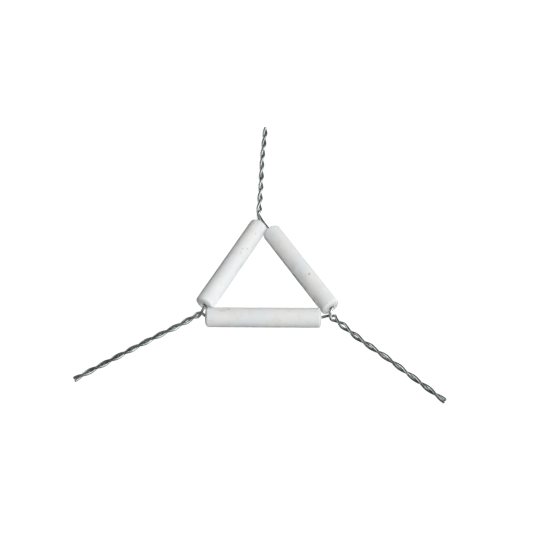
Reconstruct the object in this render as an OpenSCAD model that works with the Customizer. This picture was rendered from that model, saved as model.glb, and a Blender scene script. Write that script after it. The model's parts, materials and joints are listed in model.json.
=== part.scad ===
// Pipe clay triangle: three unglazed clay tubes, each threaded on its own wire.
// At every corner the wires of two neighbouring tubes are twisted into a tail.
// The triangle lies flat on z = 0, and its origin is the centre of the opening.
// Tube 0 lies along +X; the others follow anticlockwise, seen from above.
// Each tube starts at the corner that it runs past and ends at the side of the next tube.

/* [Clay tubes] */
// Length of one tube
tube_len = 60; // [45:1:90]
// Outer diameter of a tube
tube_od = 10.4; // [8.5:0.1:13]
// Diameter of the bore that the wire runs through
bore_d = 3.4; // [3.1:0.1:5]
// Rounding of a tube's outer end edge
edge_r = 1.85; // [0.5:0.05:2]
// Rounding of the bore's mouth
mouth_r = 0.4; // [0.1:0.05:0.5]

/* [Triangle] */
// Gap between a tube's end and the side of the tube that it stops at
butt_gap = 0.3; // [0.3:0.1:2]
// Distance from a tube's start to the corner where the tube axes cross
corner_room = 5; // [4.5:0.1:8]
// Turn of the second tube beyond an even triangle, in degrees
second_turn = 2.8; // [-3:0.1:3]
// Turn of the third tube beyond an even triangle, in degrees
third_turn = 2.2; // [-3:0.1:3]

/* [Wires] */
// Diameter of the wire
wire_d = 1.45; // [0.8:0.05:1.6]
// Room between a wire and the wall of the bore that it leans on
seat_gap = 0.3; // [0.1:0.05:0.5]
// Reach of a twisted tail, from the corner of the tube axes to its tip
tail_len = 69.5; // [40:0.5:100]
// Daylight between the two strands of a closed twist
strand_gap = 0.04; // [0.02:0.01:0.2]

/* [Hidden] */
$fn = 96;

CLAY = "#e4e4e1";
ZINC = "#9da3a2";
SIDES = 8;         // sides of the wire's section
RINGS = 20;        // rings in one full turn of the twist
BEND_RINGS = 12;   // rings from a bore to the twist
UP = [0, 0, 1];

// Corner 0 is the right one, corner 1 the far one and corner 2 the left one.
// Corner j joins the end of tube j, whose wire passes below, to the start of the next tube,
// whose wire passes above.

// Length of a half turn of the twist, well away from the corner
half_turn = [9, 8.2, 8.05];
// Share of a half turn that is added where the strands first close on each other
snug = [0.56, 0.18, 0.4];
snug_len = 3;
// How far the strands stand open beside the first crossings, and how far along that dies out
loose = [0.85, 0.3, 0.25];
loose_len = 13;
// Turn of each tail from the line out of the centre, in degrees
tail_turn = [-13.2, -4.7, 1.9];
// Each tail's first crossing, from the corner of the tube axes: outwards and to the left
tail_start = [[-4.75, -0.65], [5, 2], [-3, -0.9]];
// Gentle sideways bow of each tail, to its right, where it is greatest and how far it spreads
bow = [0.75, -0.5, -0.5];
bow_at = [20, 40, 13];
bow_spread = 12;
// Side of the bore's mouth that each wire leans on: the angle from the triangle's centre upwards
over_side = [138, 150, 60];
under_side = [-40, -100, -37];
// The bend to the twist starts this far inside the bore
bend_start = 0.7;

tube_r = tube_od / 2;
bore_r = bore_d / 2;
wire_r = wire_d / 2;
strand_r = wire_r + strand_gap / 2;
seat_r = bore_r - wire_r - seat_gap;

// Heading of each tube, and the angle between its end and the next tube
heading = [0, 120 + second_turn, 240 + third_turn];
function next(i) = (i + 1) % 3;
function before(i) = (i + 2) % 3;
corner_angle = [for (i = [0:2]) 180 - (heading[next(i)] - heading[i] + 360) % 360];

// Distance from a tube's end to the corner of the axes, so that its rounded edge clears
// the next tube's side by butt_gap
function end_room(angle) =
    (tube_r + butt_gap + edge_r + (tube_r - edge_r) * cos(angle)) / sin(angle) - edge_r;

// Distance from the centre to each tube's axis
reach = (tube_len + corner_room + end_room(60)) / (2 * sqrt(3));

// Unit vectors along a tube and from it towards the centre
function along(i) = [cos(heading[i]), sin(heading[i]), 0];
function inward(i) = [-sin(heading[i]), cos(heading[i]), 0];

// Places along a tube's axis, from the point nearest to the centre
corner_at = [for (i = [0:2]) reach / tan(corner_angle[i] / 2)];
tube_end = [for (i = [0:2]) corner_at[i] - end_room(corner_angle[i])];
tube_start = [for (i = [0:2]) tube_end[i] - tube_len];
function on_axis(i, x) = x * along(i) - reach * inward(i) + tube_r * UP;
function corner(j) = on_axis(j, corner_at[j]);

// A tail's own axes: along it and to its right
function tail_heading(j) = atan2(corner(j)[1], corner(j)[0]) + tail_turn[j];
function tail_along(j) = [cos(tail_heading(j)), sin(tail_heading(j)), 0];
function tail_right(j) = cross(tail_along(j), UP);
function tail_base(j) =
    let (out = [corner(j)[0], corner(j)[1], 0] / norm([corner(j)[0], corner(j)[1]]))
    corner(j) + tail_start[j][0] * out + tail_start[j][1] * cross(UP, out);

// Turn of the upper strand after a length s of tail, in degrees
function twist(j, s) = 180 * (s / half_turn[j] + snug[j] * (1 - exp(-s / snug_len)));

// Point of one strand of tail j; the right-handed twist starts with one strand on top
function strand_point(j, s, under) =
    let (
        turn = twist(j, s) + (under ? 180 : 0),
        radius = strand_r + loose[j] * pow(sin(turn), 2) * exp(-s / loose_len)
    )
    tail_base(j) + s * tail_along(j) + radius * cos(turn) * UP
        + (radius * sin(turn) + bow[j] * exp(-pow((s - bow_at[j]) / bow_spread, 2))) * tail_right(j);

// One strand as a list of points, from the first crossing to the tip
function strand(j, under) =
    let (
        length = tail_len - tail_start[j][0],
        steps = ceil(RINGS * (length / half_turn[j] + snug[j]) / 2)
    )
    [for (k = [0:steps]) strand_point(j, length * k / steps, under)];

// Point at share t of a cubic curve from p to q, with speeds u and v at its ends
function cubic(p, u, q, v, t) =
    (2 * pow(t, 3) - 3 * pow(t, 2) + 1) * p + (pow(t, 3) - 2 * pow(t, 2) + t) * u
        + (3 * pow(t, 2) - 2 * pow(t, 3)) * q + (pow(t, 3) - pow(t, 2)) * v;

// The bend at corner j, from inside the bore to just before the first crossing
function bend(j, under) =
    let (
        i = under ? j : next(j),
        out = under ? along(i) : -along(i),
        side = under ? under_side[j] : over_side[j],
        mouth = on_axis(i, under ? tube_end[i] : tube_start[i]),
        from = mouth + seat_r * (cos(side) * inward(i) + sin(side) * UP) - bend_start * out,
        to = strand_point(j, 0, under),
        ahead = strand_point(j, 0.05, under) - to,
        speed = norm(to - from)
    )
    [for (k = [0:BEND_RINGS - 1])
        cubic(from, speed * out, to, speed * ahead / norm(ahead), k / BEND_RINGS)];

function reversed(list) = [for (k = [len(list) - 1:-1:0]) list[k]];

// The whole centre line of tube i's wire, from tip to tip
function wire_line(i) = concat(
    reversed(strand(before(i), false)), reversed(bend(before(i), false)),
    bend(i, true), strand(i, true));

// Direction of a line of points at point k
function direction(line, k) =
    let (d = line[min(k + 1, len(line) - 1)] - line[max(k - 1, 0)]) d / norm(d);

// Ring of points round the line at point k
function ring(line, k, radius) =
    let (
        d = direction(line, k),
        side = cross(d, UP) / norm(cross(d, UP)),
        top = cross(side, d)
    )
    [for (n = [0:SIDES - 1])
        line[k] + radius * (cos(360 * n / SIDES) * side + sin(360 * n / SIDES) * top)];

// A round bar of the given radius along a line of points
module bar(line, radius) {
    last = len(line) - 1;
    polyhedron(
        points = [for (k = [0:last]) each ring(line, k, radius)],
        faces = concat(
            [[for (n = [SIDES - 1:-1:0]) n]],
            [[for (n = [0:SIDES - 1]) last * SIDES + n]],
            [for (k = [0:last - 1], n = [0:SIDES - 1])
                let (m = (n + 1) % SIDES)
                [k * SIDES + n, k * SIDES + m, (k + 1) * SIDES + m, (k + 1) * SIDES + n]]
        ),
        convexity = 10
    );
}

// Section of a tube's wall: axis along Y, length from 0 to tube_len
module wall_section() {
    difference() {
        translate([bore_r, 0]) square([tube_r - bore_r, tube_len]);
        for (flip = [0, 1]) translate([0, flip * tube_len]) mirror([0, flip]) {
            difference() {
                translate([tube_r - edge_r, -1]) square([edge_r + 1, edge_r + 1]);
                translate([tube_r - edge_r, edge_r]) circle(r = edge_r);
            }
            difference() {
                translate([bore_r - 1, -1]) square([mouth_r + 1, mouth_r + 1]);
                translate([bore_r + mouth_r, mouth_r]) circle(r = mouth_r);
            }
        }
    }
}

// One clay tube in its place
module tube(i) {
    color(CLAY) translate(on_axis(i, tube_start[i])) rotate([90, 0, heading[i] + 90])
        rotate_extrude() wall_section();
}

// One wire in its place
module wire(i) {
    color(ZINC) bar(wire_line(i), wire_r);
}

module tube_front() { tube(0); }
module tube_right() { tube(1); }
module tube_left() { tube(2); }
module wire_front() { wire(0); }
module wire_right() { wire(1); }
module wire_left() { wire(2); }

tube_front();
tube_right();
tube_left();
wire_front();
wire_right();
wire_left();
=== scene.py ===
"""Pipe clay triangle: the looks of three clay tubes and three twisted wires.

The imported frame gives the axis, the length and the bore of every tube. This script builds
the fired clay and the galvanised wire as fine surfaces in the same places, dresses them,
and sets up a plain studio. Lengths in the dataclasses are in millimetres, and meshes are
in metres. The triangle lies flat on z = 0 round the origin, with the front tube along +X.
"""

import json
import logging
import math
from dataclasses import dataclass
from enum import Enum

import bpy
import numpy as np
from mathutils import Matrix, Vector

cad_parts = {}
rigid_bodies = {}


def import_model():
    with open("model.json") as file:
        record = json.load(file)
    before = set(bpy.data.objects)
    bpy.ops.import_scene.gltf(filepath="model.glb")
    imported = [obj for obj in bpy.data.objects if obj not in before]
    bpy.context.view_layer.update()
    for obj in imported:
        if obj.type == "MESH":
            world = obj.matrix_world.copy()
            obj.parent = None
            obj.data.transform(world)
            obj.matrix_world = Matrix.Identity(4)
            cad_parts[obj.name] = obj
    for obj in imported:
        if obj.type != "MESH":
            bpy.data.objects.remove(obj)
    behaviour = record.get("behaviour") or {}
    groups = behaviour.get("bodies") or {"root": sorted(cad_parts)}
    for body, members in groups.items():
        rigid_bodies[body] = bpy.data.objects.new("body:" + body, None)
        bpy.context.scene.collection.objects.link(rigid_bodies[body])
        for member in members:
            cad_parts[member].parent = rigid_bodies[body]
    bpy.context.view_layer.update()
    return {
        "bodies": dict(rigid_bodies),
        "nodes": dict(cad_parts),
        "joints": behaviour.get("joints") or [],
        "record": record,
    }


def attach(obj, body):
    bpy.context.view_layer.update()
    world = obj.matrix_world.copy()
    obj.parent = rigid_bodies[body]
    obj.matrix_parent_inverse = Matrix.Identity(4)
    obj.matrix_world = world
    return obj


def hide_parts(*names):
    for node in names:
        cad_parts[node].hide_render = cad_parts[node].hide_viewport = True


MM = 0.001
UP = np.array([0.0, 0.0, 1.0])
LOG = logging.getLogger("clay_triangle")


class Place(Enum):
    """Where a tube and its wire lie in the triangle, anticlockwise from the front."""

    FRONT = 0
    RIGHT = 1
    LEFT = 2

    @property
    def word(self) -> str:
        """The place as a lower-case word."""
        return self.name.lower()


class Corner(Enum):
    """A corner of the triangle; the value is the tube whose end butts there."""

    RIGHT = 0
    FAR = 1
    LEFT = 2


class Strand(Enum):
    """One of the two wire ends in a twisted tail, as a half turn of the twist."""

    OVER = 0
    UNDER = 1


# ---- small tools


def unit(vector: np.ndarray) -> np.ndarray:
    """The vector divided by its own length."""
    return vector / np.linalg.norm(vector)


def smooth_step(low: float, high: float, value: np.ndarray) -> np.ndarray:
    """A smooth ramp from 0 at low to 1 at high.

    Formula: with t the share of the way from low to high, held between 0 and 1, the
    result is three t squared less two t cubed.

    Args:
        low: Where the ramp leaves 0.
        high: Where the ramp reaches 1; it may be less than low.
        value: The values to map.

    Returns:
        The ramp at each value.
    """
    t = np.clip((value - low) / (high - low), 0.0, 1.0)
    return t * t * (3.0 - 2.0 * t)


def wave_sum(points: np.ndarray, wavelength: float, seed: int) -> np.ndarray:
    """Smooth irregularity in space, mostly between -1 and 1.

    Formula: the sum of nine sine waves, each along its own direction drawn evenly over
    the sphere, with its own phase and a wavelength within about a third of the one given.
    The sum is brought to a mean square of 1, and then divided by 1.6 to keep nearly all
    of it between -1 and 1.

    Args:
        points: Places in millimetres, with the coordinates on the last axis.
        wavelength: The middle wavelength in millimetres.
        seed: Seed of the draw, so that each call repeats.

    Returns:
        One value a point.
    """
    count = 9
    draw = np.random.default_rng(seed)
    directions = draw.normal(size=(count, 3))
    directions /= np.linalg.norm(directions, axis=1)[:, None]
    lengths = wavelength * draw.uniform(0.7, 1.35, count)
    phases = draw.uniform(0.0, 2.0 * math.pi, count)
    angles = points @ (directions / lengths[:, None]).T * 2.0 * math.pi + phases
    even = np.sin(angles).sum(axis=-1) * math.sqrt(2.0 / count)
    return even / 1.6


def grid_faces(rows: int, columns: int, wrap_rows: bool) -> np.ndarray:
    """Quads of a grid of points that closes on itself along its columns.

    Args:
        rows: Number of rings.
        columns: Number of points in a ring.
        wrap_rows: Whether the last ring joins the first.

    Returns:
        An array of four point numbers a face.
    """
    last = rows if wrap_rows else rows - 1
    row = np.arange(last)[:, None]
    column = np.arange(columns)[None, :]
    after = (row + 1) % rows
    right = (column + 1) % columns
    corners = np.broadcast_arrays(
        row * columns + column,
        row * columns + right,
        after * columns + right,
        after * columns + column,
    )
    return np.stack(corners, -1).reshape(-1, 4)


def make_piece(
    name: str,
    points: np.ndarray,
    quads: np.ndarray,
    triangles: np.ndarray | None = None,
) -> bpy.types.Object:
    """A smooth-shaded mesh object at the origin.

    Args:
        name: Name of the piece.
        points: Places in millimetres, one row a point.
        quads: Four point numbers a face.
        triangles: Three point numbers a face, for closed tips.

    Returns:
        The new object, linked to the scene.
    """
    loops = [quads.ravel()]
    sizes = [np.full(len(quads), 4)]
    if triangles is not None:
        loops.append(triangles.ravel())
        sizes.append(np.full(len(triangles), 3))
    corner_points = np.concatenate(loops).astype(np.int32)
    face_sizes = np.concatenate(sizes)
    starts = np.concatenate([[0], np.cumsum(face_sizes)[:-1]]).astype(np.int32)
    mesh = bpy.data.meshes.new(name)
    mesh.vertices.add(len(points))
    mesh.vertices.foreach_set("co", (points * MM).astype(np.float32).ravel())
    mesh.loops.add(len(corner_points))
    mesh.loops.foreach_set("vertex_index", corner_points)
    mesh.polygons.add(len(starts))
    mesh.polygons.foreach_set("loop_start", starts)
    mesh.update(calc_edges=True)
    mesh.validate()
    mesh.polygons.foreach_set("use_smooth", np.ones(len(starts), dtype=bool))
    piece = bpy.data.objects.new(name, mesh)
    bpy.context.scene.collection.objects.link(piece)
    return piece


def add_attribute(piece: bpy.types.Object, name: str, values: np.ndarray) -> None:
    """Stores one number a point on the mesh, for its material.

    Args:
        piece: The mesh object.
        name: Name that the material's Attribute node reads.
        values: One value a point.
    """
    layer = piece.data.attributes.new(name, "FLOAT", "POINT")
    layer.data.foreach_set("value", values.astype(np.float32).ravel())


# ---- finishes


Socket = bpy.types.NodeSocket
Source = Socket | float | tuple


class Nodes:
    """A material's node tree, with short calls for the nodes that the finishes use."""

    def __init__(self, name: str) -> None:
        """Starts an empty material.

        Args:
            name: Name of the material.
        """
        self.material = bpy.data.materials.new(name)
        self.material.use_nodes = True
        self.tree = self.material.node_tree
        self.tree.nodes.clear()
        output = self.add("OutputMaterial", {})
        self.surface = self.add("BsdfPrincipled", {})
        self.join(self.surface.outputs[0], output.inputs["Surface"])

    def join(self, source: Source, target: Socket) -> None:
        """Links a socket, or sets a plain number or colour.

        Args:
            source: An output socket, a number or a colour.
            target: The input socket.
        """
        if isinstance(source, Socket):
            self.tree.links.new(source, target)
        else:
            target.default_value = source

    def feed(self, node: bpy.types.Node, inputs: dict[str | int, Source]) -> bpy.types.Node:
        """Joins several inputs of a node.

        Args:
            node: The node.
            inputs: The source of each input, by its name or number.

        Returns:
            The same node.
        """
        for name, source in inputs.items():
            self.join(source, node.inputs[name])
        return node

    def add(self, kind: str, inputs: dict[str | int, Source]) -> bpy.types.Node:
        """Adds a node of the kind "ShaderNode..." with the given inputs."""
        return self.feed(self.tree.nodes.new(f"ShaderNode{kind}"), inputs)

    def place(self, turn: float = 0.0, stretch: tuple = (1.0, 1.0, 1.0)) -> Socket:
        """Object coordinates, turned about Z and stretched.

        Args:
            turn: Turn of the pattern's X axis, in radians.
            stretch: How much finer the pattern is along each of its own axes.

        Returns:
            The vector socket.
        """
        where = self.add("TexCoord", {}).outputs["Object"]
        turned = self.add("Mapping", {"Vector": where, "Rotation": (0.0, 0.0, -turn)})
        scaled = self.add("Mapping", {"Vector": turned.outputs[0], "Scale": stretch})
        return scaled.outputs[0]

    def noise(
        self, where: Socket, size: float, detail: float = 3.0, rough: float = 0.5
    ) -> Socket:
        """Noise with blotches of about the given size.

        Args:
            where: Vector socket.
            size: Size of a blotch in millimetres.
            detail: Number of finer layers.
            rough: Strength of the finer layers.

        Returns:
            The socket of its value, around a half.
        """
        scale = 1.0 / (size * MM)
        inputs = {"Vector": where, "Scale": scale, "Detail": detail, "Roughness": rough}
        return self.add("TexNoise", inputs).outputs[0]

    def attribute(self, name: str) -> Socket:
        """A number that is stored on the mesh.

        Args:
            name: The attribute's name.

        Returns:
            The socket of its value.
        """
        node = self.add("Attribute", {})
        node.attribute_name = name
        return node.outputs["Fac"]

    def ramp(
        self, value: Socket, low: float, high: float, start: float = 0.0, end: float = 1.0
    ) -> Socket:
        """A smooth ramp of a value.

        Args:
            value: The value's socket.
            low: Where the ramp starts.
            high: Where it ends.
            start: Result up to low.
            end: Result from high.

        Returns:
            The socket of the result.
        """
        limits = {"From Min": low, "From Max": high, "To Min": start, "To Max": end}
        node = self.add("MapRange", {"Value": value, **limits})
        node.interpolation_type = "SMOOTHSTEP"
        return node.outputs["Result"]

    def product(self, first: Source, second: Source) -> Socket:
        """The product of two values.

        Args:
            first: Socket or number.
            second: Socket or number.

        Returns:
            The socket of the result.
        """
        node = self.add("Math", {0: first, 1: second})
        node.operation = "MULTIPLY"
        return node.outputs[0]

    def mix(self, share: Source, first: Source, second: Source) -> Socket:
        """A mix of two colours.

        Args:
            share: Share of the second colour, as a socket or number.
            first: Colour or socket.
            second: Colour or socket.

        Returns:
            The colour socket.
        """
        node = self.add("Mix", {"Factor": share})
        node.data_type = "RGBA"
        colours = [socket for socket in node.inputs if socket.type == "RGBA"]
        self.join(first, colours[0])
        self.join(second, colours[1])
        return next(socket for socket in node.outputs if socket.type == "RGBA")

    def bump(self, height: Socket, depth: float, under: Socket | None = None) -> Socket:
        """A bumped normal.

        Args:
            height: Socket of the height, from 0 to 1.
            depth: Depth in millimetres of a height of 1.
            under: Normal socket that it lies on.

        Returns:
            The normal socket.
        """
        inputs = {"Height": height, "Distance": depth * MM}
        if under is not None:
            inputs["Normal"] = under
        return self.add("Bump", inputs).outputs[0]


@dataclass(frozen=True)
class PipeClay:
    """Unglazed fired pipe clay: matte, faintly mottled, with grain, streaks, dirt and
    painted shade.

    Attributes:
        name: Name of the material.
        turn: Heading of the tube from +X, in radians, which the streaks follow.
        clean, cool, warm: Colours of the clay.
        soot: Colour of a stain, and of the painted shade, at its darkest.
        speck: Colour of a pit or dark grain.
        broad_size, middle_size, fine_size: Sizes of the mottling's blotches.
        grain_size, grain_depth: Size and depth of the grain.
        streak_size, streak_depth: Width and depth of the streaks.
        streak_stretch: How fast streaks change along the tube, as a share of across.
    """

    name: str
    turn: float
    clean: tuple = (0.77, 0.775, 0.765, 1.0)
    cool: tuple = (0.74, 0.765, 0.775, 1.0)
    warm: tuple = (0.70, 0.695, 0.67, 1.0)
    soot: tuple = (0.13, 0.12, 0.11, 1.0)
    speck: tuple = (0.17, 0.165, 0.16, 1.0)
    broad_size: float = 14.0
    middle_size: float = 4.5
    fine_size: float = 1.1
    grain_size: float = 0.35
    grain_depth: float = 0.02
    streak_size: float = 0.9
    streak_depth: float = 0.012
    streak_stretch: float = 0.12

    def build(self) -> bpy.types.Material:
        """Builds the material.

        Broad noise mixes the clean and the cool clay, and middle and fine noise add warm
        blotches. The stain attribute, which holds dirt and bands of painted shade, clouded
        by the middle noise, and then the speck attribute darken it. The relief is a fine
        grain and long shallow streaks from the die that the tube was pressed through.

        Returns:
            The material.
        """
        nodes = Nodes(self.name)
        place = nodes.place()
        lengthwise = nodes.place(self.turn, (self.streak_stretch, 1.0, 1.0))
        broad = nodes.noise(place, self.broad_size, detail=2.0)
        middle = nodes.noise(place, self.middle_size, detail=4.0, rough=0.6)
        fine = nodes.noise(place, self.fine_size, detail=2.0)
        grain = nodes.noise(place, self.grain_size, rough=0.6)
        streak = nodes.noise(lengthwise, self.streak_size, rough=0.55)

        colour = nodes.mix(nodes.ramp(broad, 0.38, 0.62), self.cool, self.clean)
        colour = nodes.mix(nodes.ramp(middle, 0.48, 0.72, 0.0, 0.6), colour, self.warm)
        colour = nodes.mix(nodes.ramp(fine, 0.58, 0.74, 0.0, 0.35), colour, self.warm)
        cloud = nodes.ramp(middle, 0.35, 0.62, 0.45, 1.35)
        # The stain holds dirt patches and bands of painted shade along the tubes' shaded
        # sides and undersides.
        dirt = nodes.product(nodes.attribute("stain"), cloud)
        colour = nodes.mix(dirt, colour, self.soot)
        colour = nodes.mix(nodes.attribute("speck"), colour, self.speck)

        relief = nodes.bump(streak, self.streak_depth)
        nodes.feed(nodes.surface, {
            "Base Color": colour,
            "Roughness": nodes.ramp(grain, 0.3, 0.7, 0.8, 0.95),
            "Specular IOR Level": 0.3,
            "Normal": nodes.bump(grain, self.grain_depth, relief),
        })
        return nodes.material


@dataclass(frozen=True)
class Galvanised:
    """Zinc-coated iron wire: satin grey metal, unevenly dulled along its length.

    Attributes:
        name: Name of the material.
        bright, dull: Colours of the zinc.
        grime: Colour of the dirt on the dullest zinc.
        blotch_size, fine_size: Sizes of the noise behind the colour and the roughness.
        lump_size, lump_depth: Size and depth of the lumps that the hot dip leaves.
    """

    name: str
    bright: tuple = (0.56, 0.60, 0.59, 1.0)
    dull: tuple = (0.31, 0.36, 0.345, 1.0)
    grime: tuple = (0.13, 0.155, 0.145, 1.0)
    blotch_size: float = 4.0
    fine_size: float = 0.4
    lump_size: float = 1.6
    lump_depth: float = 0.012

    def build(self) -> bpy.types.Material:
        """Builds the material.

        Noise mixes the two greys of the zinc and puts grime on the dullest of it. Fine
        noise varies the roughness, and the relief is the lumpy skin of the hot dip.

        Returns:
            The material.
        """
        nodes = Nodes(self.name)
        place = nodes.place()
        blotch = nodes.noise(place, self.blotch_size, detail=2.0)
        fine = nodes.noise(place, self.fine_size, rough=0.6)
        lump = nodes.noise(place, self.lump_size, detail=1.0)
        colour = nodes.mix(nodes.ramp(blotch, 0.3, 0.7), self.dull, self.bright)
        grime = nodes.ramp(blotch, 0.3, 0.5, 0.25, 0.0)
        colour = nodes.mix(grime, colour, self.grime)
        nodes.feed(nodes.surface, {
            "Base Color": colour,
            "Metallic": 0.88,
            "Roughness": nodes.ramp(fine, 0.3, 0.7, 0.3, 0.4),
            "Normal": nodes.bump(lump, self.lump_depth),
        })
        return nodes.material


# ---- the tubes


@dataclass(frozen=True)
class Mark:
    """A pit or a dark grain in the clay.

    Attributes:
        along: Its place from the tube's start.
        angle: Its angle in degrees, from the top inwards.
        width: Its width.
        dark: How far the clay turns to the speck's colour, from 0 to 1.
        depth: How deep it lies.
    """

    along: float
    angle: float
    width: float = 0.5
    dark: float = 0.6
    depth: float = 0.06


@dataclass(frozen=True)
class Stain:
    """A soft patch of dirt, or a long band of painted shade along a tube's shaded side.

    Attributes:
        along: Its middle, from the tube's start.
        angle: Its angle in degrees, from the top inwards.
        length: Its half size along the tube.
        spread: Its half size round the tube.
        dark: How far the clay turns to the dark colour of stain and painted shade at its
            middle, from 0 to 1.
    """

    along: float
    angle: float
    length: float
    spread: float
    dark: float


# Each tube's pits and dark grains.
MARKS = {
    Place.FRONT: (
        Mark(12.3, 20.0, 0.7, 0.85),
        Mark(8.3, 6.0, 0.6, 0.4),
        Mark(25.0, -98.0, 0.6, 0.4),
        Mark(42.3, -101.0, 0.5, 0.5),
        Mark(53.5, -100.0, 0.5, 0.4),
    ),
    Place.RIGHT: (Mark(21.6, -3.0, 0.85, 0.95, 0.12),),
    Place.LEFT: (
        Mark(21.6, 18.0, 0.6, 0.5),
        Mark(24.1, 24.0, 0.6, 0.5),
        Mark(19.7, 42.0, 0.6, 0.45),
        Mark(9.1, 32.0, 0.6, 0.4),
        Mark(30.1, 75.0, 0.6, 0.45),
    ),
}
# Each tube's dirt: faint dirt patches, and long bands of painted shade along the side that
# turns from the light and underneath.
STAINS_AND_SHADE = {
    Place.FRONT: (
        Stain(9.0, 10.0, 3.5, 1.2, 0.05),
        # Painted shade along the front tube's lower front side and underneath.
        Stain(30.0, -122.0, 45.0, 1.6, 0.5),
        Stain(30.0, -150.0, 45.0, 2.8, 0.2),
    ),
    Place.RIGHT: (
        Stain(22.0, 60.0, 17.0, 2.6, 0.11),
        Stain(8.0, 60.0, 5.0, 2.2, 0.14),
        # Painted shade along the right tube's lower inner side and underneath.
        Stain(30.0, 90.0, 45.0, 1.4, 0.55),
        Stain(30.0, 115.0, 45.0, 2.8, 0.2),
    ),
    Place.LEFT: (
        # Painted shade along the left tube's outer side.
        Stain(30.0, -66.0, 45.0, 1.2, 0.38),
        Stain(30.0, -95.0, 45.0, 2.8, 0.12),
    ),
}


@dataclass
class ClayTube:
    """One clay tube: an extruded, cut and fired pipe with soft, slightly worn ends.

    Attributes:
        place: Which of the three tubes it is.
        axis_point: A point on its axis, in the frame.
        heading: Direction of its axis, from its start to its end.
        start: Place of its start along the axis, from the axis point.
        length, radius, bore: Its length, its outer radius and the radius of its bore.
        edge_depth, edge_width: Reach of an end edge's rounding, along and towards the axis.
        mouth: Rounding of the bore's mouth.
        marks, stains: Its pits and dark grains, and its dirt and bands of painted shade.
        sides: Points round the tube.
        ring_step: About the distance between the rings of the outside.
        edge_rings, face_rings, mouth_rings, bore_rings: Rings of half a tube's end edge,
            end face, mouth and bore.
        skin: Depth below the outside at which wear, dirt and painted shade start to die
            out.
        wobble: About how uneven the outside is.
        broad_wave, small_wave: Wavelengths of the unevenness.
        end_wear: Greatest wear of an end edge.
        wear_length, wear_wave: Reach of that wear along the tube, and its wavelength.
        wear_inset: Share of the wear by which an end face is also worn back.
    """

    place: Place
    axis_point: np.ndarray
    heading: np.ndarray
    start: float
    length: float
    radius: float
    bore: float
    edge_depth: float = 1.35
    edge_width: float = 2.7
    mouth: float = 0.4
    marks: tuple[Mark, ...] = ()
    stains: tuple[Stain, ...] = ()
    sides: int = 200
    ring_step: float = 0.165
    edge_rings: int = 20
    face_rings: int = 4
    mouth_rings: int = 7
    bore_rings: int = 12
    skin: float = 0.4
    wobble: float = 0.05
    broad_wave: float = 19.0
    small_wave: float = 5.0
    end_wear: float = 0.22
    wear_length: float = 2.2
    wear_wave: float = 7.0
    wear_inset: float = 0.6

    @property
    def inward(self) -> np.ndarray:
        """The level direction from the tube's axis to the middle of the triangle."""
        return np.cross(UP, self.heading)

    def section(self) -> tuple[np.ndarray, np.ndarray]:
        """The closed outline of the tube's wall, as places along and out from the axis.

        Formula: along the outer wall in even steps, round a quarter ellipse to the end
        face, in across the face, round a quarter circle of the mouth radius, to the
        middle of the bore, and the same again mirrored at the other end.

        Returns:
            The places along the axis and the distances from it.
        """
        half = self.length / 2.0
        flat = half - self.edge_depth
        inner = self.radius - self.edge_width
        lip = self.bore + self.mouth
        quarter = math.pi / 2.0
        turn = np.linspace(0.0, quarter, self.edge_rings, endpoint=False)
        roll = np.linspace(0.0, quarter, self.mouth_rings, endpoint=False)
        rings = int(flat / self.ring_step)
        along = np.concatenate([
            np.linspace(0.0, flat, rings, endpoint=False),
            flat + self.edge_depth * np.sin(turn),
            np.full(self.face_rings, half),
            half - self.mouth + self.mouth * np.cos(roll),
            np.linspace(half - self.mouth, 0.0, self.bore_rings + 1),
        ])
        out = np.concatenate([
            np.full(rings, self.radius),
            inner + self.edge_width * np.cos(turn),
            np.linspace(inner, lip, self.face_rings, endpoint=False),
            lip - self.mouth * np.sin(roll),
            np.full(self.bore_rings + 1, self.bore),
        ])
        # The other half is the same backwards, without the two middle rings.
        return (
            np.concatenate([along, -along[-2:0:-1]]),
            np.concatenate([out, out[-2:0:-1]]),
        )

    def shape(self) -> tuple[np.ndarray, np.ndarray, np.ndarray, np.ndarray]:
        """The whole surface of the tube, with its wear.

        Formula: the wall's outline is turned about the axis. The outside is then drawn
        in by the wobble times three parts of a broad wave and one part of a small one, by
        wear that eats the end edges more on some sides than others, and by a bowl at
        every mark.

        Returns:
            Points as rings in millimetres, the place along the tube of each point, its
            angle in degrees, and a value from 0 in the bore to 1 on the outside.
        """
        along, out = self.section()
        angle = np.linspace(-math.pi, math.pi, self.sides, endpoint=False)
        along_grid, angle_grid = np.meshgrid(along, angle, indexing="ij")
        out_grid = np.broadcast_to(out[:, None], along_grid.shape)
        outside = smooth_step(self.bore + self.mouth, self.radius - self.skin, out_grid)
        raw = self.points_at(along_grid, out_grid, angle_grid)
        seed = 10 * self.place.value
        broad = 0.5 + 0.5 * wave_sum(raw, self.broad_wave, seed + 1)
        small = 0.5 + 0.5 * wave_sum(raw, self.small_wave, seed + 2)
        draw_in = self.wobble * np.maximum(0.75 * broad + 0.25 * small, 0.0)
        half = self.length / 2.0
        end = smooth_step(half - self.wear_length, half, np.abs(along_grid))
        chipped = smooth_step(-0.2, 1.0, wave_sum(raw, self.wear_wave, seed + 3))
        draw_in = draw_in + self.end_wear * end * chipped
        from_start = along_grid + half
        degrees = np.degrees(angle_grid)
        for mark in self.marks:
            sizes = (mark.width / 2.0, mark.width / 2.0)
            bowl = self.around(mark, sizes, from_start, degrees)
            draw_in = draw_in + mark.depth * bowl
        shrink = outside * draw_in
        worn_back = np.sign(along_grid) * end * shrink * self.wear_inset
        points = self.points_at(along_grid - worn_back, out_grid - shrink, angle_grid)
        return points, from_start, degrees, outside

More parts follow.
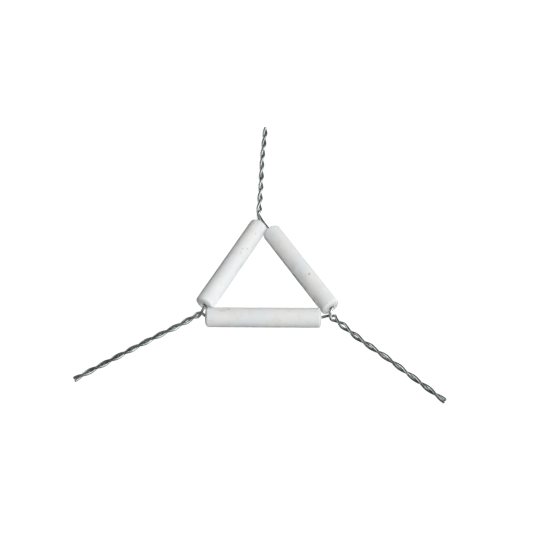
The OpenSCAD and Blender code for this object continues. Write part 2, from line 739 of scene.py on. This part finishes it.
    def points_at(
        self, along: np.ndarray, out: np.ndarray, angle: np.ndarray
    ) -> np.ndarray:
        """Places in the frame from a place on the tube.

        Formula: the axis point plus the way along the heading, plus the distance out
        times the cosine of the angle upwards and its sine inwards.

        Args:
            along: Place along the axis from the middle of the tube.
            out: Distance from the axis.
            angle: Angle from the top towards the middle of the triangle, in radians.

        Returns:
            Points in millimetres.
        """
        middle = self.axis_point + (self.start + self.length / 2) * self.heading
        lift = (out * np.cos(angle))[..., None] * UP
        lean = (out * np.sin(angle))[..., None] * self.inward
        return middle + along[..., None] * self.heading + lift + lean

    def around(
        self,
        spot: Mark | Stain,
        sizes: tuple[float, float],
        from_start: np.ndarray,
        degrees: np.ndarray,
    ) -> np.ndarray:
        """A soft bump of 1 round a spot on the tube's outside.

        Formula: a bell curve of the distance to the spot, where the ways along and round
        the tube count by the two sizes.

        Args:
            spot: The mark or stain.
            sizes: Half sizes along and round the tube.
            from_start: Places of the points along the tube.
            degrees: Angles of the points.

        Returns:
            A value from 0 to 1 a point.
        """
        turn = (degrees - spot.angle + 180.0) % 360.0 - 180.0
        round_way = np.radians(turn) * self.radius
        along = (from_start - spot.along) / sizes[0]
        return np.exp(-(along**2 + (round_way / sizes[1]) ** 2))

    def dirt(
        self, points: np.ndarray, from_start: np.ndarray, degrees: np.ndarray
    ) -> tuple[np.ndarray, np.ndarray]:
        """How dark the clay is at each point, from its marks and from its stains.

        Formula: each value is the greatest, over all marks or stains, of the darkness
        times a soft bump round the spot. A short wave in space makes the marks ragged.

        Args:
            points: The tube's points.
            from_start: Their places along the tube.
            degrees: Their angles.

        Returns:
            The speck, and the stain with its painted shade, from 0 to about 1 at every
            point.
        """
        ragged = 0.75 + 0.5 * wave_sum(points, 1.1, seed=7)
        speck = np.zeros_like(from_start)
        for mark in self.marks:
            sizes = (mark.width * 0.6, mark.width * 0.6)
            spot = self.around(mark, sizes, from_start, degrees)
            speck = np.maximum(speck, mark.dark * np.clip(spot * ragged * 1.2, 0, 1))
        stain = np.zeros_like(from_start)
        for patch in self.stains:
            spot = self.around(patch, (patch.length, patch.spread), from_start, degrees)
            stain = np.maximum(stain, patch.dark * spot)
        return speck, stain

    def build(self) -> bpy.types.Object:
        """Builds and dresses the tube, and puts it on its body.

        Returns:
            The finished piece.
        """
        points, from_start, degrees, outside = self.shape()
        rings, sides = from_start.shape
        faces = grid_faces(rings, sides, wrap_rows=True)[:, ::-1]
        piece = make_piece(f"clay_tube_{self.place.word}", points.reshape(-1, 3), faces)
        # The stain holds dirt patches and bands of painted shade.
        speck, stain = self.dirt(points, from_start, degrees)
        add_attribute(piece, "speck", speck * outside)
        add_attribute(piece, "stain", stain * outside)
        turn = math.atan2(self.heading[1], self.heading[0])
        piece.data.materials.append(PipeClay(f"pipe_clay_{self.place.word}", turn).build())
        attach(piece, f"{self.place.word}_tube")
        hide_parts(f"tube_{self.place.word}")
        return piece


# ---- the wires


@dataclass(frozen=True)
class Tail:
    """A corner's twisted tail: two wire ends wound round each other in a right-hand twist.

    Attributes:
        start: First crossing, from the corner of the axes, outwards and to the left.
        turn: Turn of the tail from the line out of the centre, in degrees.
        half_turn: Length of a half turn, well away from the corner.
        snug: Share of a half turn added where the strands first close on each other.
        loose: How far the strands stand open beside the first crossings.
        bow: Greatest sideways bow of the tail, to its right.
        bow_at: Length of tail at which the bow is greatest.
        over_side: Side of the mouth that the upper wire leans on, as an angle in degrees
            from the middle of the triangle upwards.
        under_side: The same for the lower wire.
    """

    start: tuple[float, float]
    turn: float
    half_turn: float
    snug: float
    loose: float
    bow: float
    bow_at: float
    over_side: float
    under_side: float


TAILS = {
    Corner.RIGHT: Tail(
        start=(-4.75, -0.65), turn=-13.2, half_turn=9.0, snug=0.56, loose=0.85,
        bow=0.75, bow_at=20.0, over_side=138.0, under_side=-40.0,
    ),
    Corner.FAR: Tail(
        start=(5.0, 2.0), turn=-4.7, half_turn=8.2, snug=0.18, loose=0.3,
        bow=-0.5, bow_at=40.0, over_side=150.0, under_side=-100.0,
    ),
    Corner.LEFT: Tail(
        start=(-3.0, -0.9), turn=1.9, half_turn=8.05, snug=0.4, loose=0.25,
        bow=-0.5, bow_at=13.0, over_side=60.0, under_side=-37.0,
    ),
}


@dataclass
class Twist:
    """The wires of the triangle, with the sizes that all three share.

    Attributes:
        tubes: The three tubes, in the order of their places.
        wire: Diameter of the wire.
        seat_gap: Room between a wire and the wall of the bore that it leans on.
        tail_len: Reach of a tail, from the corner of the tube axes to its tip.
        gap: Daylight between the two strands of a closed twist.
        snug_len: Length of tail over which the snug share is added.
        loose_len: Length of tail over which the looseness dies out.
        bow_spread: How far a tail's bow spreads.
        bend_start: How far inside the bore the bend to the twist starts.
        sides: Points round the wire.
        tail_step: About the distance between rings along a tail.
        bend_rings, core_rings: Rings of a bend, and of the straight in the tube.
        tip, tip_rings: Length and rings of the rounding at a wire's cut tip.
        lump_wave, lump_depth: Wavelength and depth of the wire's uneven thickness.
    """

    tubes: tuple[ClayTube, ...]
    wire: float = 1.45
    seat_gap: float = 0.3
    tail_len: float = 69.5
    gap: float = 0.04
    snug_len: float = 3.0
    loose_len: float = 13.0
    bow_spread: float = 12.0
    bend_start: float = 0.7
    sides: int = 28
    tail_step: float = 0.3
    bend_rings: int = 44
    core_rings: int = 24
    tip: float = 0.45
    tip_rings: int = 6
    lump_wave: float = 2.6
    lump_depth: float = 0.012

    def crossing(self, corner: Corner) -> np.ndarray:
        """The point where the axes of a corner's two tubes cross.

        Formula: the way t along the first axis solves "point one plus t times heading
        one equals point two plus s times heading two", in the plane.

        Args:
            corner: The corner.

        Returns:
            The point in millimetres.
        """
        one = self.tubes[corner.value]
        two = self.tubes[(corner.value + 1) % 3]
        sides = np.column_stack([one.heading[:2], -two.heading[:2]])
        way = np.linalg.solve(sides, (two.axis_point - one.axis_point)[:2])[0]
        return one.axis_point + way * one.heading

    def tail_axes(self, corner: Corner) -> tuple[np.ndarray, np.ndarray, np.ndarray]:
        """A tail's first crossing, its direction, and the level direction to its right.

        Args:
            corner: The corner.

        Returns:
            The base point, the direction along the tail and the one to its right.
        """
        tail = TAILS[corner]
        cross = self.crossing(corner)
        out = unit(cross * (1.0, 1.0, 0.0))
        base = cross + tail.start[0] * out + tail.start[1] * np.cross(UP, out)
        heading = math.atan2(out[1], out[0]) + math.radians(tail.turn)
        along = np.array([math.cos(heading), math.sin(heading), 0.0])
        return base, along, np.cross(along, UP)

    def strand(self, corner: Corner, strand: Strand, way: np.ndarray) -> np.ndarray:
        """Centre line of one strand at the given lengths of tail.

        Formula: the turn is a half turn times the way over the half turn's length, plus
        the snug share times one less the exponential of minus the way over the snug
        length. The radius is the wire's and half the gap, plus the loose value times
        the square of the turn's sine, dying out along the tail. The point is the base,
        plus the way along, plus the radius times the turn's cosine up and sine right.
        The bow adds a bell curve of the way to the right.

        Args:
            corner: The corner.
            strand: Which of the two strands.
            way: Lengths along the tail in millimetres.

        Returns:
            One point a length.
        """
        tail = TAILS[corner]
        base, along, right = self.tail_axes(corner)
        closing = tail.snug * (1.0 - np.exp(-way / self.snug_len))
        turn = math.pi * (way / tail.half_turn + closing + strand.value)
        closed = (self.wire + self.gap) / 2.0
        opening = tail.loose * np.sin(turn) ** 2 * np.exp(-way / self.loose_len)
        radius = closed + opening
        lift = (radius * np.cos(turn))[:, None] * UP
        bow = tail.bow * np.exp(-(((way - tail.bow_at) / self.bow_spread) ** 2))
        lean = (radius * np.sin(turn) + bow)[:, None] * right
        return base + way[:, None] * along + lift + lean

    def bend(self, corner: Corner, strand: Strand, share: np.ndarray) -> np.ndarray:
        """Centre line from inside a bore to the first crossing.

        Formula: a cubic curve between the two ends, which leaves the bore along its axis
        and meets the strand along the strand's own direction, with a speed at both ends
        equal to the distance between them.

        Args:
            corner: The corner.
            strand: Which of the two strands.
            share: Shares of the way, from 0 in the bore to 1 at the crossing.

        Returns:
            One point a share.
        """
        over = strand is Strand.OVER
        tube = self.tubes[(corner.value + 1) % 3 if over else corner.value]
        tail = TAILS[corner]
        side = math.radians(tail.over_side if over else tail.under_side)
        room = tube.bore - self.wire / 2.0 - self.seat_gap
        seat = room * (math.cos(side) * tube.inward + math.sin(side) * UP)
        out = -tube.heading if over else tube.heading
        end = tube.start if over else tube.start + tube.length
        mouth = tube.axis_point + end * tube.heading
        begin = mouth + seat - self.bend_start * out
        just_past = 0.05
        meet, ahead = self.strand(corner, strand, np.array([0.0, just_past]))
        speed = float(np.linalg.norm(meet - begin))
        leave = speed * out
        arrive = speed * unit(ahead - meet)
        t = share[:, None]
        return (
            (2 * t**3 - 3 * t**2 + 1) * begin
            + (t**3 - 2 * t**2 + t) * leave
            + (3 * t**2 - 2 * t**3) * meet
            + (t**3 - t**2) * arrive
        )

    def centre_line(self, place: Place) -> np.ndarray:
        """A wire's whole centre line, from the tip of one tail to the tip of the other.

        Args:
            place: The wire's place.

        Returns:
            Points in millimetres, closer together outside the tube than half the wire.
        """
        before = Corner((place.value + 2) % 3)
        after = Corner(place.value)
        first = self.half_line(before, Strand.OVER)
        second = self.half_line(after, Strand.UNDER)
        inner = np.linspace(first[0], second[0], self.core_rings + 2)[1:-1]
        return np.vstack([first[::-1], inner, second])

    def half_line(self, corner: Corner, strand: Strand) -> np.ndarray:
        """One wire end's centre line, from inside its bore to the tip of its tail.

        Args:
            corner: The corner that it comes out at.
            strand: Which of the corner's two strands it is.

        Returns:
            Points in millimetres.
        """
        length = self.tail_len - TAILS[corner].start[0]
        way = np.linspace(0.0, length, int(length / self.tail_step))
        share = np.linspace(0.0, 1.0, self.bend_rings, endpoint=False)
        bend = self.bend(corner, strand, share)
        return np.vstack([bend, self.strand(corner, strand, way)])

    def taper(
        self, line: np.ndarray, ahead: np.ndarray
    ) -> tuple[np.ndarray, np.ndarray, np.ndarray]:
        """The rings of a wire, with the ones that round off its cut tips.

        Formula: within the tip's length of an end, the line's own points make way for
        rings whose radius falls off as a quarter ellipse.

        Args:
            line: The centre line.
            ahead: Its direction at every point.

        Returns:
            The rings' centres, the share of the full radius that each has, and the
            number of the line's point whose directions it takes.
        """
        turn = np.linspace(math.pi / 2.0, 0.0, self.tip_rings + 1, endpoint=False)[1:]
        inset = (self.tip * (1.0 - np.sin(turn)))[:, None]
        head = line[0] + inset * ahead[0]
        foot = (line[-1] - inset * ahead[-1])[::-1]
        gaps = np.linalg.norm(np.diff(line, axis=0), axis=1)
        travel = np.concatenate([[0.0], np.cumsum(gaps)])
        keep = np.flatnonzero((travel > self.tip) & (travel < travel[-1] - self.tip))
        centres = np.vstack([head, line[keep], foot])
        size = np.concatenate([np.cos(turn), np.ones(len(keep)), np.cos(turn)[::-1]])
        ends = np.zeros(self.tip_rings, int)
        return centres, size, np.concatenate([ends, keep, ends - 1])

    def sweep(self, line: np.ndarray) -> tuple[np.ndarray, np.ndarray, np.ndarray]:
        """A round bar along a centre line, with softened cut tips.

        Formula: at every point the ring's two directions are the level one square to the
        line and the one square to both. A point of the ring is the centre plus the
        radius times the cosine and sine of its angle along them, drawn in a little by a
        wave in space. A single point closes each tip.

        Args:
            line: The centre line.

        Returns:
            Points, quads and the triangles that close the tips.
        """
        ahead = np.gradient(line, axis=0)
        ahead /= np.linalg.norm(ahead, axis=1)[:, None]
        level = np.cross(UP, ahead)
        level /= np.linalg.norm(level, axis=1)[:, None]
        upper = np.cross(ahead, level)
        centres, size, row = self.taper(line, ahead)
        turn = np.linspace(0.0, 2.0 * math.pi, self.sides, endpoint=False)
        spoke = (
            np.cos(turn)[None, :, None] * level[row][:, None, :]
            + np.sin(turn)[None, :, None] * upper[row][:, None, :]
        )
        radius = self.wire / 2.0 * size
        points = centres[:, None, :] + radius[:, None, None] * spoke
        lumps = 1.0 + wave_sum(points, self.lump_wave, seed=41)
        points = points - self.lump_depth * lumps[..., None] * spoke
        here = np.arange(self.sides)
        after = (here + 1) % self.sides
        first_tip = len(centres) * self.sides
        last_ring = first_tip - self.sides
        fans = (
            (np.full(self.sides, first_tip), after, here),
            (np.full(self.sides, first_tip + 1), last_ring + here, last_ring + after),
        )
        return (
            np.vstack([points.reshape(-1, 3), line[0], line[-1]]),
            grid_faces(len(centres), self.sides, wrap_rows=False),
            np.vstack([np.stack(fan, -1) for fan in fans]),
        )

    def build(self, place: Place) -> bpy.types.Object:
        """Builds and dresses one wire, and puts it on the wire frame.

        Args:
            place: The wire's place.

        Returns:
            The finished piece.
        """
        points, quads, tips = self.sweep(self.centre_line(place))
        piece = make_piece(f"zinc_wire_{place.word}", points, quads, tips)
        piece.data.materials.append(Galvanised(f"galvanised_{place.word}").build())
        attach(piece, "wire_frame")
        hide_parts(f"wire_{place.word}")
        return piece


# ---- the studio


@dataclass(frozen=True)
class Softbox:
    """A square area light that points at the triangle.

    Attributes:
        name: Name of the light.
        azimuth, elevation: Where it stands, in degrees: from +X towards +Y, and up from
            the floor.
        distance, size: Its distance and the length of its side, in metres.
        power: Its power in watts.
        lights: Whether it lights the clay.
        mirrored: Whether it is seen in the wires.
    """

    name: str
    azimuth: float
    elevation: float
    distance: float
    size: float
    power: float
    lights: bool = True
    mirrored: bool = True

    def build(self) -> None:
        """Adds the light, which the camera doesn't see."""
        lamp = bpy.data.lights.new(self.name, "AREA")
        lamp.shape = "SQUARE"
        lamp.size = self.size
        lamp.energy = self.power
        light = bpy.data.objects.new(self.name, lamp)
        azimuth = math.radians(self.azimuth)
        elevation = math.radians(self.elevation)
        toward = Vector((math.cos(azimuth) * math.cos(elevation),
                         math.sin(azimuth) * math.cos(elevation), math.sin(elevation)))
        light.location = toward * self.distance
        light.rotation_mode = "QUATERNION"
        light.rotation_quaternion = toward.to_track_quat("Z", "Y")
        light.visible_camera = False
        light.visible_diffuse = self.lights
        light.visible_glossy = self.mirrored
        bpy.context.scene.collection.objects.link(light)


@dataclass
class Studio:
    """A pale cove, soft light and the camera.

    The key box and the panels light the clay. The table's glow stands for the light that
    a white table throws back up. Of the lights, the wires mirror only the two white
    sides of a tent, which is open in front, where the camera stands.

    Attributes:
        aim: The point that the camera looks at, in millimetres.
        distance: The camera's distance from it, in millimetres.
        azimuth, elevation, roll: The camera's direction in degrees.
        lens: Focal length in millimetres, on a sensor 36 mm wide.
        boxes: The lights.
    """

    aim: tuple = (0.96, 11.04, 5.2)
    distance: float = 536.4
    azimuth: float = 2.72
    elevation: float = 54.9
    roll: float = -2.0
    lens: float = 67.54
    boxes: tuple = (
        Softbox("key_box", -45.0, 60.0, 1.2, 0.9, 16.7, mirrored=False),
        Softbox("side_panel", 45.0, 8.0, 1.2, 0.9, 4.8, mirrored=False),
        Softbox("low_panel", 90.0, -60.0, 1.2, 0.9, 22.0, mirrored=False),
        Softbox("table_glow", 0.0, -90.0, 0.8, 8.0, 135.0, mirrored=False),
        Softbox("tent_right", 0.0, 20.0, 1.0, 1.2, 13.0, lights=False),
        Softbox("tent_left", 176.0, 18.0, 1.0, 1.0, 7.5, lights=False),
    )

    def camera(self) -> None:
        """Adds the camera and makes it the scene's.

        Azimuth 0 looks along +Y. The roll turns the camera about its own line of sight.
        """
        azimuth = math.radians(self.azimuth)
        elevation = math.radians(self.elevation)
        ahead = Vector((-math.sin(azimuth) * math.cos(elevation),
                        math.cos(azimuth) * math.cos(elevation), -math.sin(elevation)))
        data = bpy.data.cameras.new("camera")
        data.lens = self.lens
        data.sensor_width = 36.0
        data.clip_start = 0.01
        data.clip_end = 50.0
        camera = bpy.data.objects.new("camera", data)
        level = ahead.to_track_quat("-Z", "Y").to_matrix().to_4x4()
        roll = Matrix.Rotation(math.radians(self.roll), 4, "Z")
        where = (Vector(self.aim) - ahead * self.distance) * MM
        camera.matrix_world = Matrix.Translation(where) @ level @ roll
        bpy.context.scene.collection.objects.link(camera)
        bpy.context.scene.camera = camera

    def cove(self) -> None:
        """Adds the pale floor, which curves up into a wall far from the triangle.

        Formula: a ring's height is the rise times the square of its share of the way
        from the flat's edge to the rim, and its radius grows evenly.
        """
        flat, rim, rise = 1500.0, 4000.0, 2600.0
        rings, sides = 24, 96
        share = np.linspace(0.0, 1.0, rings)
        radius = np.concatenate([[1.0, 300.0], flat + (rim - flat) * share])
        height = np.concatenate([[0.0, 0.0], rise * share**2])
        turn = np.linspace(0.0, 2.0 * math.pi, sides, endpoint=False)
        across = radius[:, None] * np.cos(turn)
        back = radius[:, None] * np.sin(turn)
        points = np.stack([across, back, np.broadcast_to(height[:, None], back.shape)], -1)
        faces = grid_faces(radius.size, sides, wrap_rows=False)[:, ::-1]
        here = np.arange(sides)
        middle = np.full(sides, radius.size * sides)
        fan = np.stack([middle, here, (here + 1) % sides], -1)
        corners = np.vstack([points.reshape(-1, 3), np.zeros(3)])
        cove = make_piece("cove", corners, faces, fan)
        cove.data.materials.append(self.paper())
        # Only the camera sees it, so that the panels under it light the clay.
        for ray in ("diffuse", "glossy", "transmission", "shadow"):
            setattr(cove, f"visible_{ray}", False)

    def paper(self) -> bpy.types.Material:
        """The cove's plain white paper, which glows so that shadows on it stay faint.

        Returns:
            The material.
        """
        nodes = Nodes("white_paper")
        nodes.feed(nodes.surface, {
            "Base Color": (0.2, 0.2, 0.2, 1.0),
            "Roughness": 1.0,
            "Specular IOR Level": 0.0,
            "Emission Color": (1.0, 1.0, 1.0, 1.0),
            "Emission Strength": 0.95,
        })
        return nodes.material

    def sky(self) -> None:
        """Sets a faint even light from all round."""
        world = bpy.data.worlds.new("studio_air")
        world.use_nodes = True
        bpy.context.scene.world = world
        tree = world.node_tree
        tree.nodes.clear()
        output = tree.nodes.new("ShaderNodeOutputWorld")
        background = tree.nodes.new("ShaderNodeBackground")
        background.inputs["Strength"].default_value = 0.04
        tree.links.new(background.outputs[0], output.inputs[0])

    def build(self) -> None:
        """Adds everything of the studio."""
        self.camera()
        self.cove()
        self.sky()
        for box in self.boxes:
            box.build()
        settings = bpy.context.scene.view_settings
        settings.view_transform = "Standard"
        settings.look = "None"


# ---- the whole thing


@dataclass
class ClayTriangle:
    """The whole support: it reads the tubes' places from the frame and builds all pieces.

    Attributes:
        frame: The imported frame.
    """

    frame: dict

    def tube(self, place: Place) -> ClayTube:
        """One tube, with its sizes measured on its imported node.

        Formula: the way along is each point's distance from the joint along its axis,
        the distance out is what is left of the point, and the bore is the least of it.

        Args:
            place: The tube's place.

        Returns:
            The tube, ready to build.
        """
        name = f"{place.word}_tube_spin"
        joint = next(j for j in self.frame["joints"] if j["name"] == name)
        point = np.array(joint["pos_m"]) / MM
        heading = unit(np.array(joint["axis"]))
        mesh = self.frame["nodes"][f"tube_{place.word}"].data
        corners = np.empty(len(mesh.vertices) * 3, np.float32)
        mesh.vertices.foreach_get("co", corners)
        offset = corners.reshape(-1, 3) / MM - point
        along = offset @ heading
        out = np.linalg.norm(offset - along[:, None] * heading, axis=1)
        return ClayTube(
            place=place,
            axis_point=point,
            heading=heading,
            start=float(along.min()),
            length=float(along.max() - along.min()),
            radius=float(out.max()),
            bore=float(out.min()),
            marks=MARKS[place],
            stains=STAINS_AND_SHADE[place],
        )

    def build(self) -> None:
        """Builds the three tubes and the three wires."""
        tubes = tuple(self.tube(place) for place in Place)
        for tube in tubes:
            piece = tube.build()
            LOG.info(
                "%s: %.2f mm long, %.2f mm thick, bore %.2f mm, %d faces",
                piece.name, tube.length, 2 * tube.radius, 2 * tube.bore,
                len(piece.data.polygons),
            )
        twist = Twist(tubes)
        for place in Place:
            piece = twist.build(place)
            LOG.info("%s: %d faces", piece.name, len(piece.data.polygons))


def main() -> None:
    """Loads the frame, and builds the triangle and the studio."""
    logging.basicConfig(level=logging.INFO, format="%(name)s: %(message)s")
    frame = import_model()
    Studio().build()
    ClayTriangle(frame).build()
    bpy.context.view_layer.update()


if __name__ == "__main__":
    main()
